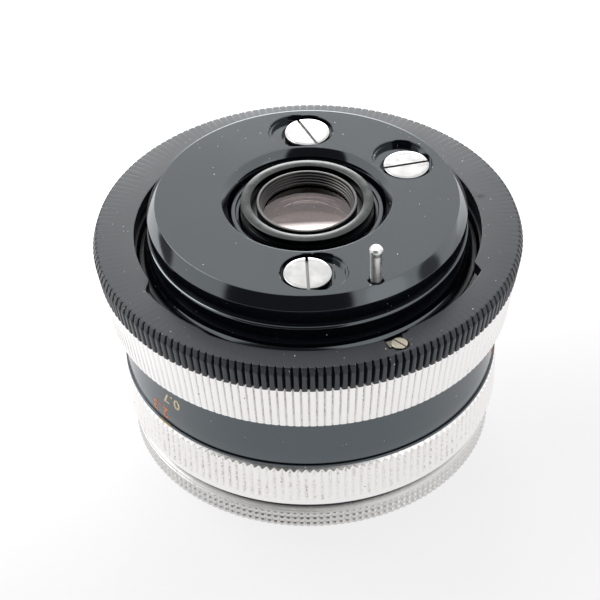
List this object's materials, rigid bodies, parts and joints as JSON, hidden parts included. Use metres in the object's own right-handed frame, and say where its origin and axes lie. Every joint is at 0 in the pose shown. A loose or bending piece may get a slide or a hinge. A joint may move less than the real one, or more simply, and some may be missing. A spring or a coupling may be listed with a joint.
{
  "type": "photographic lens",
  "caption": "Manual-focus camera lens with knurled focusing and aperture rings, a distance-scale barrel, an iris and a rear mount with a release pin.",
  "frame": {"origin": "centre of the front ring's foot, on the surface the lens stands on", "axes": "+Z along the optical axis towards the rear mount; -Y towards the side with the release pin and the focus stop screw"},
  "size_m": [0.062, 0.062, 0.0449],
  "materials": {
    "black_anodised": "satin black anodised aluminium, a little dusty, bright at worn edges",
    "gloss_black": "glossy black anodised aluminium",
    "grey_anodised": "satin dark grey anodised aluminium",
    "satin_aluminium": "satin clear anodised aluminium with dirt in the knurling",
    "bright_screw": "bright nickel-plated steel",
    "pale_nickel": "nickel-plated brass, slightly yellowed",
    "brass": "turned brass with a film of grease",
    "dark_steel": "blued spring steel",
    "coated_glass": "polished optical glass with a purple-pink single-layer coating"
  },
  "bodies": {
    "mount": {"rear_plate": "black_anodised", "plate_screw_1": "bright_screw", "plate_screw_2": "bright_screw", "plate_screw_3": "bright_screw", "mount_spigot": "gloss_black", "helicoid_sleeve": "brass", "helicoid_key": "dark_steel", "release_pin_spring": "dark_steel"},
    "focus": {"focus_cover_ring": "black_anodised", "focus_grip_ring": "satin_aluminium", "distance_scale_barrel": "gloss_black", "drive_helicoid": "brass", "focus_stop_block": "pale_nickel", "focus_stop_screw": "pale_nickel"},
    "optics": {"optics_barrel": "black_anodised", "index_ring": "gloss_black", "front_housing": "black_anodised", "front_ring": "satin_aluminium", "front_trim_ring": "black_anodised", "front_cell": "black_anodised", "front_element": "coated_glass", "middle_element": "coated_glass", "diaphragm_housing": "black_anodised", "diaphragm_base_plate": "black_anodised", "rear_cell": "black_anodised", "rear_flint_element": "coated_glass", "rear_crown_element": "coated_glass", "rear_retaining_ring": "grey_anodised", "click_ball": "dark_steel", "click_spring": "dark_steel"},
    "aperture": {"aperture_ring": "satin_aluminium", "aperture_lever": "brass", "diaphragm_drive_ring": "dark_steel"},
    "release_pin": {"release_pin": "bright_screw"},
    "blade_1": {"diaphragm_blade_1": "dark_steel"},
    "blade_2": {"diaphragm_blade_2": "dark_steel"},
    "blade_3": {"diaphragm_blade_3": "dark_steel"},
    "blade_4": {"diaphragm_blade_4": "dark_steel"},
    "blade_5": {"diaphragm_blade_5": "dark_steel"}
  },
  "joints": [
    {"name": "focus_travel", "type": "slide", "parent": "mount", "child": "optics", "axis": [0, 0, 1], "range_m": [0, 0.0042]},
    {"name": "focus_turn", "type": "hinge", "parent": "optics", "child": "focus", "pos_m": [0, 0, 0.03], "axis": [0, 0, 1], "range_deg": [0, 230]},
    {"name": "aperture_turn", "type": "hinge", "parent": "optics", "child": "aperture", "pos_m": [0, 0, 0.009], "axis": [0, 0, 1], "range_deg": [0, 66]},
    {"name": "blade_1_swing", "type": "hinge", "parent": "optics", "child": "blade_1", "pos_m": [0.0099, 0, 0.02092], "axis": [0, 0, 1], "range_deg": [0, 42.5]},
    {"name": "blade_2_swing", "type": "hinge", "parent": "optics", "child": "blade_2", "pos_m": [0.00306, 0.00941, 0.02123], "axis": [0, 0, 1], "range_deg": [0, 42.5]},
    {"name": "blade_3_swing", "type": "hinge", "parent": "optics", "child": "blade_3", "pos_m": [-0.00801, 0.00582, 0.02152], "axis": [0, 0, 1], "range_deg": [0, 42.5]},
    {"name": "blade_4_swing", "type": "hinge", "parent": "optics", "child": "blade_4", "pos_m": [-0.00801, -0.00582, 0.02183], "axis": [0, 0, 1], "range_deg": [0, 42.5]},
    {"name": "blade_5_swing", "type": "hinge", "parent": "optics", "child": "blade_5", "pos_m": [0.00306, -0.00941, 0.02212], "axis": [0, 0, 1], "range_deg": [0, 42.5]},
    {"name": "release_pin_press", "type": "slide", "parent": "mount", "child": "release_pin", "axis": [0, 0, -1], "range_m": [0, 0.0028], "stiffness_N_per_m": 150, "springref_m": -0.002, "deforming": ["release_pin_spring"]}
  ],
  "couplings": [
    {"joint": "focus_travel", "follows": "focus_turn", "m_per_rad": 0.001046},
    {"joint": "blade_1_swing", "follows": "aperture_turn", "ratio": 0.636},
    {"joint": "blade_2_swing", "follows": "aperture_turn", "ratio": 0.636},
    {"joint": "blade_3_swing", "follows": "aperture_turn", "ratio": 0.636},
    {"joint": "blade_4_swing", "follows": "aperture_turn", "ratio": 0.636},
    {"joint": "blade_5_swing", "follows": "aperture_turn", "ratio": 0.636}
  ]
}
